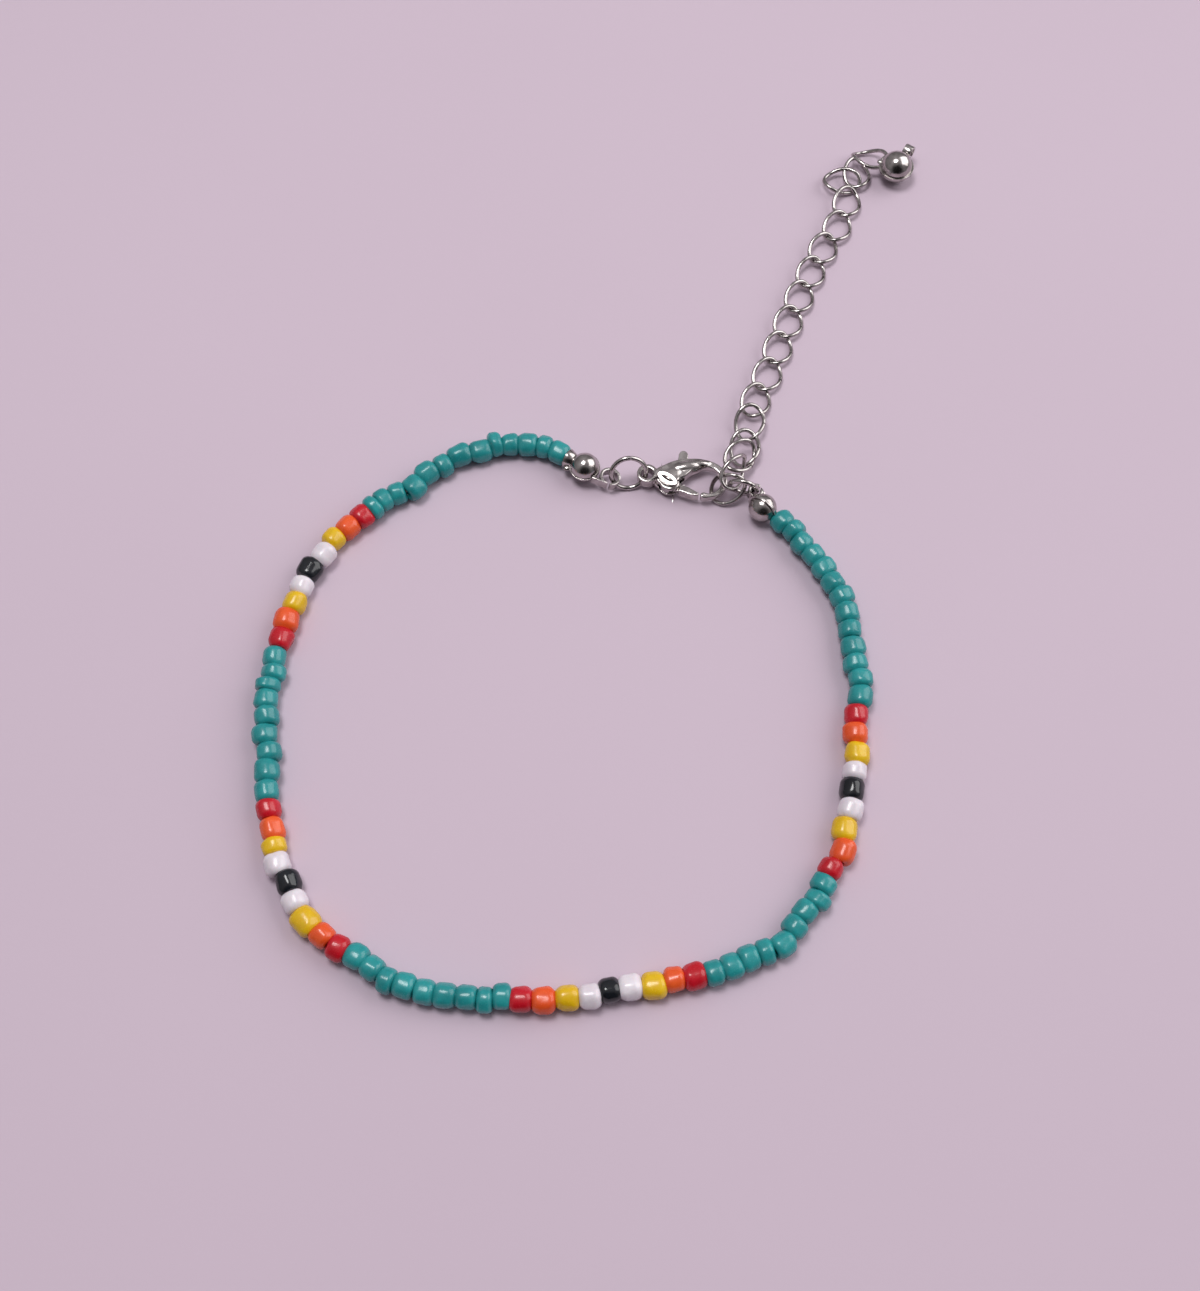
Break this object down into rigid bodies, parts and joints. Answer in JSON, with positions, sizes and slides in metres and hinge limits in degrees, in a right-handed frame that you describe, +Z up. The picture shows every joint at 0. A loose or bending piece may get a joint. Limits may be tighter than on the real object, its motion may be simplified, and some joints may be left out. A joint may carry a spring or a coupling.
{
  "type": "beaded anklet",
  "caption": "Anklet of small opaque glass beads on one thread, closed by a lobster clasp, with an extender chain that ends in a ball.",
  "frame": {"origin": "middle of the fastened anklet's outline, on the surface that it lies on", "axes": "+Y from the bead loop towards the far end of the extender chain, +Z up from the surface, +X to the side of the chain"},
  "size_m": [0.0862, 0.1222, 0.0046],
  "materials": {
    "turquoise_glass": "opaque pressed glass with a glossy, slightly uneven surface",
    "red_glass": "opaque pressed glass with a glossy, slightly uneven surface",
    "orange_glass": "opaque pressed glass with a glossy, slightly uneven surface",
    "yellow_glass": "opaque pressed glass with a glossy, slightly uneven surface",
    "white_glass": "opaque pressed glass with a glossy, slightly uneven surface",
    "black_glass": "opaque pressed glass with a glossy, slightly uneven surface",
    "silver_plate": "silver-coloured bright plate on the findings and the chain",
    "bright_plate": "bright plate on the cast clasp, a little worn on its edges"
  },
  "bodies": {
    "anklet": {"bead_14_red": "red_glass", "bead_15_orange": "orange_glass", "bead_16_yellow": "yellow_glass", "bead_17_white": "white_glass", "bead_18_black": "black_glass", "bead_19_white": "white_glass", "bead_20_yellow": "yellow_glass", "bead_21_orange": "orange_glass", "bead_22_red": "red_glass", "bead_32_red": "red_glass", "bead_33_orange": "orange_glass", "bead_34_yellow": "yellow_glass", "bead_35_white": "white_glass", "bead_36_black": "black_glass", "bead_37_white": "white_glass", "bead_38_yellow": "yellow_glass", "bead_39_orange": "orange_glass", "bead_40_red": "red_glass", "bead_50_red": "red_glass", "bead_51_orange": "orange_glass", "bead_52_yellow": "yellow_glass", "bead_53_white": "white_glass", "bead_54_black": "black_glass", "bead_55_white": "white_glass", "bead_56_yellow": "yellow_glass", "bead_57_orange": "orange_glass", "bead_58_red": "red_glass", "bead_68_red": "red_glass", "bead_69_orange": "orange_glass", "bead_70_yellow": "yellow_glass", "bead_71_white": "white_glass", "bead_72_black": "black_glass", "bead_73_white": "white_glass", "bead_74_yellow": "yellow_glass", "bead_75_orange": "orange_glass", "bead_76_red": "red_glass", "clamshell_end": "silver_plate", "clamshell_left": "silver_plate", "clamshell_right": "silver_plate", "clasp_body": "bright_plate", "extender_chain": "silver_plate", "jump_ring_chain": "silver_plate", "jump_ring_clasp": "silver_plate", "turquoise_run_1": "turquoise_glass", "turquoise_run_2": "turquoise_glass", "turquoise_run_3": "turquoise_glass", "turquoise_run_4": "turquoise_glass", "turquoise_run_5": "turquoise_glass"},
    "lever": {"clasp_lever": "bright_plate"}
  },
  "joints": [
    {"name": "lever_pivot", "type": "hinge", "parent": "anklet", "child": "lever", "pos_m": [0.00724, 0.0059, 0.00136], "axis": [0, 0, 1], "range_deg": [0, 20], "stiffness_Nm_per_rad": 0.0002, "springref_deg": -17.19}
  ]
}
